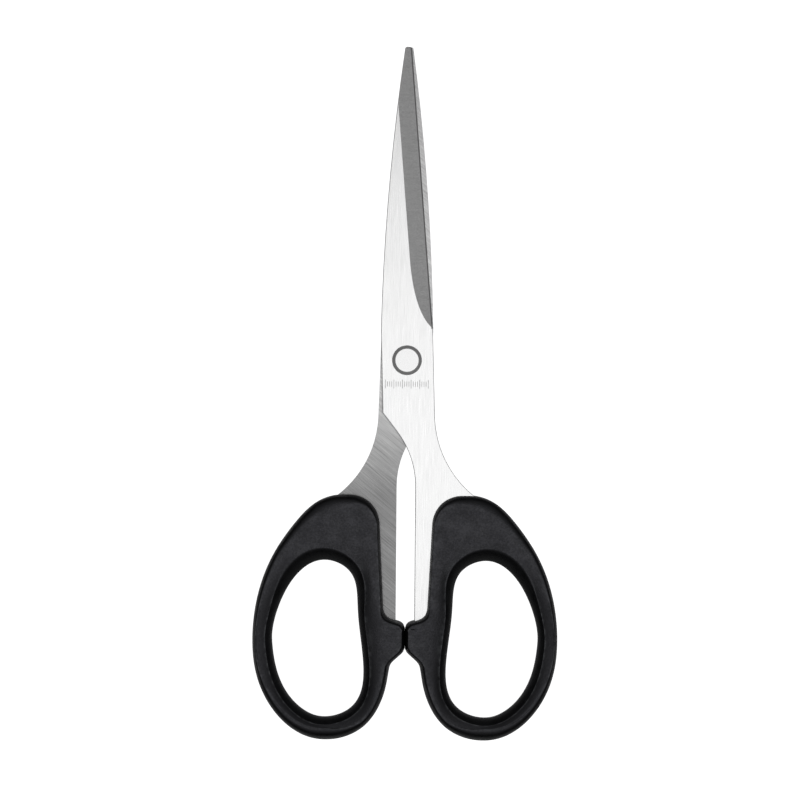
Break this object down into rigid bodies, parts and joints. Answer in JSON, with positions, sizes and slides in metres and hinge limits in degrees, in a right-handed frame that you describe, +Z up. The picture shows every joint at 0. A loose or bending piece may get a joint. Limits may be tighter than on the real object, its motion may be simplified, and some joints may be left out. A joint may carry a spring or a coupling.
{
  "type": "office scissors",
  "caption": "Office scissors: pointed ground steel blades that turn on a flat-headed rivet, with black plastic finger loops moulded over their tangs.",
  "frame": {"origin": "on the surface under the handles, on the centre line, half way between the blade tips and the rear of the finger loops", "axes": "+Y along the closed blades towards the tips, +Z up out of the front blade's outer face, +X towards the front half's finger loop"},
  "size_m": [0.0768, 0.1748, 0.0084],
  "materials": {
    "blade_steel": "stainless, brushed lengthwise, with a cross-ground band along the cutting edge",
    "handle_plastic": "black, finely textured",
    "rivet_steel": "polished"
  },
  "bodies": {
    "back_half": {"back_blade": "blade_steel", "back_handle": "handle_plastic"},
    "front_half": {"front_blade": "blade_steel", "front_handle": "handle_plastic", "pivot_rivet": "rivet_steel", "rivet_washer": "rivet_steel"}
  },
  "joints": [
    {"name": "blade_pivot", "type": "hinge", "parent": "back_half", "child": "front_half", "pos_m": [0, 0.0084, 0.0042], "axis": [0, 0, 1], "range_deg": [0, 135]}
  ]
}
